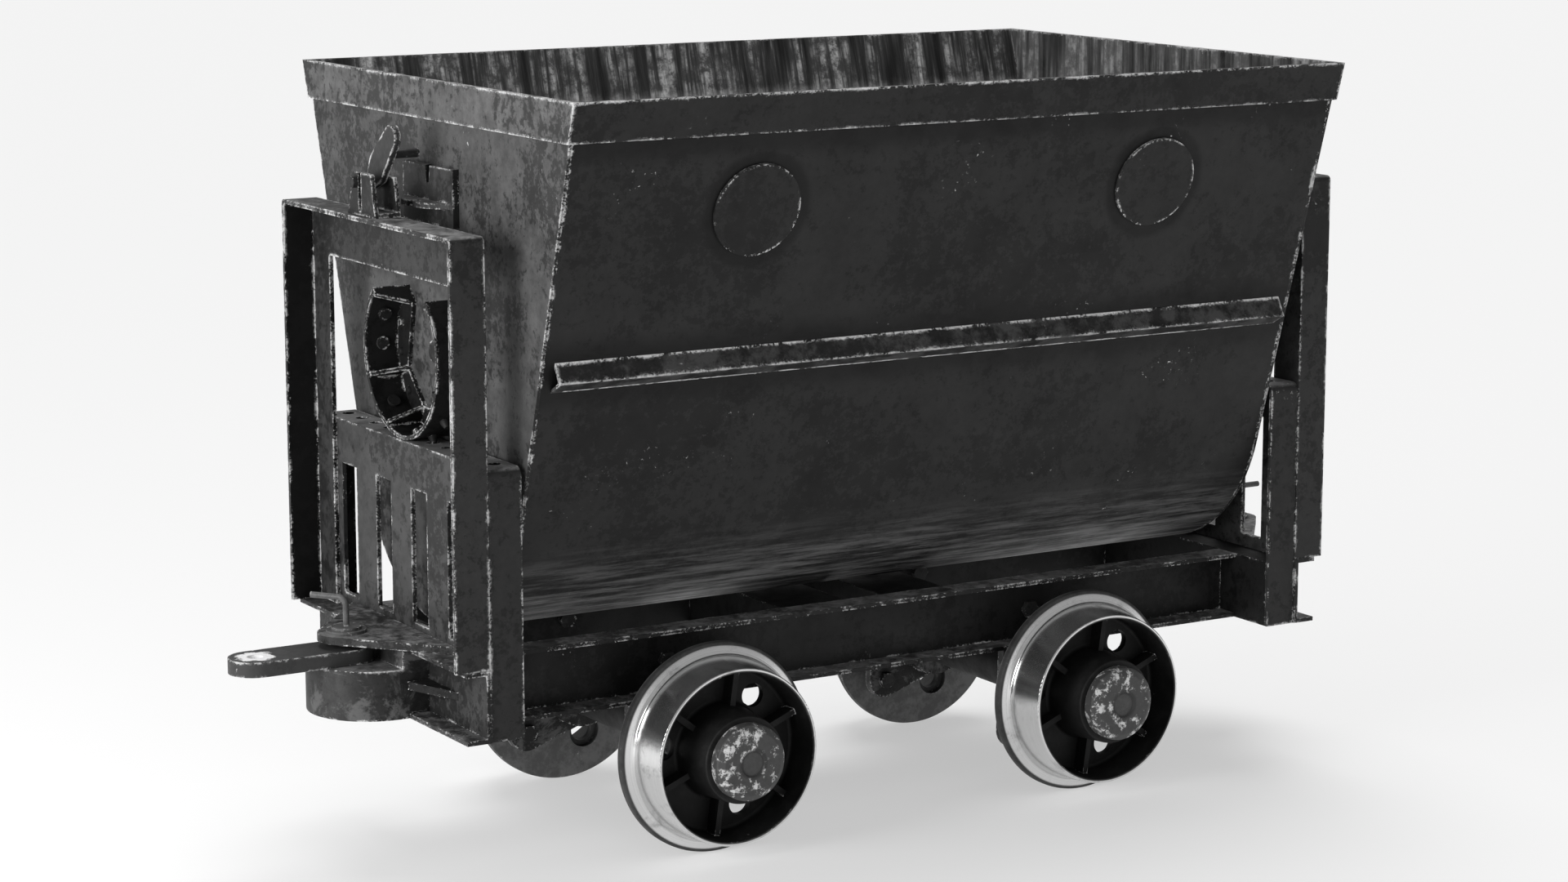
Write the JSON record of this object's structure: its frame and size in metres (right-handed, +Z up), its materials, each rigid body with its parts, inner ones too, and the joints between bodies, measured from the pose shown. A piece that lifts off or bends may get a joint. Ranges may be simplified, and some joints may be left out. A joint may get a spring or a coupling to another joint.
{
  "type": "mine cart",
  "caption": "Side-tipping rocker mine cart: round-bottomed steel tub on toothed rockers, channel frame with end portals, flanged wheels, pin couplers and a coupling link",
  "frame": {"origin": "centre of the wheelbase, on the plane that the wheel flanges stand on", "axes": "+X along the track towards the rear end, coupling link at -X; +Y across the track to the right-hand side; +Z up"},
  "size_m": [2.276, 1.088, 1.393],
  "materials": {
    "tub_paint": "black enamel paint, grimy, worn to bare steel along the edges",
    "frame_paint": "dark grey paint, chipped to bare steel along the edges",
    "wheel_cast": "cast wheel with bright polished tread and dark grimy recess",
    "hub_metal": "mottled worn metal caps",
    "forged": "forged steel rubbed bright where it works",
    "casting": "dark casting with rubbed patches",
    "bush": "greased bronze bush"
  },
  "bodies": {
    "frame": {"axle_bracket_front_left": "casting", "axle_bracket_front_right": "casting", "axle_bracket_rear_left": "casting", "axle_bracket_rear_right": "casting", "axle_clamp_bolts": "forged", "axle_front": "forged", "axle_nuts": "forged", "axle_rear": "forged", "buffer_block_front": "casting", "buffer_block_rear": "casting", "buffer_gussets": "frame_paint", "coupler_plate_front": "frame_paint", "coupler_plate_rear": "frame_paint", "cross_member_front": "frame_paint", "cross_member_rear": "frame_paint", "end_beam_front": "frame_paint", "end_beam_rear": "frame_paint", "end_sill_front": "frame_paint", "end_sill_rear": "frame_paint", "latch_bolts": "forged", "latch_bracket_front": "frame_paint", "latch_bracket_rear": "frame_paint", "pin_washers": "forged", "portal_front": "frame_paint", "portal_rear": "frame_paint", "rocker_stand_front": "frame_paint", "rocker_stand_rear": "frame_paint", "side_sill_left": "frame_paint", "side_sill_right": "frame_paint", "sill_bolts": "forged"},
    "carrier": {"centre_pins": "forged"},
    "bucket": {"bucket_shell": "tub_paint", "bucket_end_front": "tub_paint", "bucket_end_rear": "tub_paint", "rim_band": "tub_paint", "side_rib_left": "tub_paint", "side_rib_right": "tub_paint", "side_discs": "tub_paint", "rocker_front": "tub_paint", "rocker_rear": "tub_paint", "rocker_pegs": "tub_paint", "rocker_rivets": "tub_paint", "latch_keepers": "tub_paint"},
    "link": {"link": "forged"},
    "latch_front": {"latch_lever_front": "forged"},
    "draw_pin_front": {"draw_pin_front": "forged"},
    "wheel_front_left": {"wheel_front_left": "wheel_cast", "hub_cap_front_left": "hub_metal", "bearing_front_left": "bush"},
    "wheel_front_right": {"wheel_front_right": "wheel_cast", "hub_cap_front_right": "hub_metal", "bearing_front_right": "bush"},
    "latch_rear": {"latch_lever_rear": "forged"},
    "draw_pin_rear": {"draw_pin_rear": "forged"},
    "wheel_rear_left": {"wheel_rear_left": "wheel_cast", "hub_cap_rear_left": "hub_metal", "bearing_rear_left": "bush"},
    "wheel_rear_right": {"wheel_rear_right": "wheel_cast", "hub_cap_rear_right": "hub_metal", "bearing_rear_right": "bush"}
  },
  "joints": [
    {"name": "rocker_roll", "type": "slide", "parent": "frame", "child": "carrier", "axis": [0, 1, 0], "range_m": [-0.125, 0.125]},
    {"name": "bucket_tip", "type": "hinge", "parent": "carrier", "child": "bucket", "pos_m": [0, 0, 0.9091], "axis": [1, 0, 0], "range_deg": [-45, 45]},
    {"name": "link_swing", "type": "hinge", "parent": "frame", "child": "link", "pos_m": [-0.991, 0, 0.38], "axis": [0, 0, 1], "range_deg": [-65, 65]},
    {"name": "latch_swing_front", "type": "hinge", "parent": "frame", "child": "latch_front", "pos_m": [-0.896, 0.054, 1.2146], "axis": [-1, 0, 0], "range_deg": [-25, 65]},
    {"name": "pin_lift_front", "type": "slide", "parent": "frame", "child": "draw_pin_front", "axis": [0, 0, 1], "range_m": [0, 0.13]},
    {"name": "spin_front_left", "type": "hinge", "parent": "frame", "child": "wheel_front_left", "pos_m": [-0.406, 0, 0.1938], "axis": [0, 1, 0], "continuous": true},
    {"name": "spin_front_right", "type": "hinge", "parent": "frame", "child": "wheel_front_right", "pos_m": [-0.406, 0, 0.1938], "axis": [0, 1, 0], "continuous": true},
    {"name": "latch_swing_rear", "type": "hinge", "parent": "frame", "child": "latch_rear", "pos_m": [0.896, -0.054, 1.2146], "axis": [1, 0, 0], "range_deg": [-25, 65]},
    {"name": "pin_lift_rear", "type": "slide", "parent": "frame", "child": "draw_pin_rear", "axis": [0, 0, 1], "range_m": [0, 0.13]},
    {"name": "spin_rear_left", "type": "hinge", "parent": "frame", "child": "wheel_rear_left", "pos_m": [0.406, 0, 0.1938], "axis": [0, 1, 0], "continuous": true},
    {"name": "spin_rear_right", "type": "hinge", "parent": "frame", "child": "wheel_rear_right", "pos_m": [0.406, 0, 0.1938], "axis": [0, 1, 0], "continuous": true}
  ],
  "couplings": [
    {"joint": "rocker_roll", "follows": "bucket_tip", "m_per_rad": -0.1523}
  ]
}
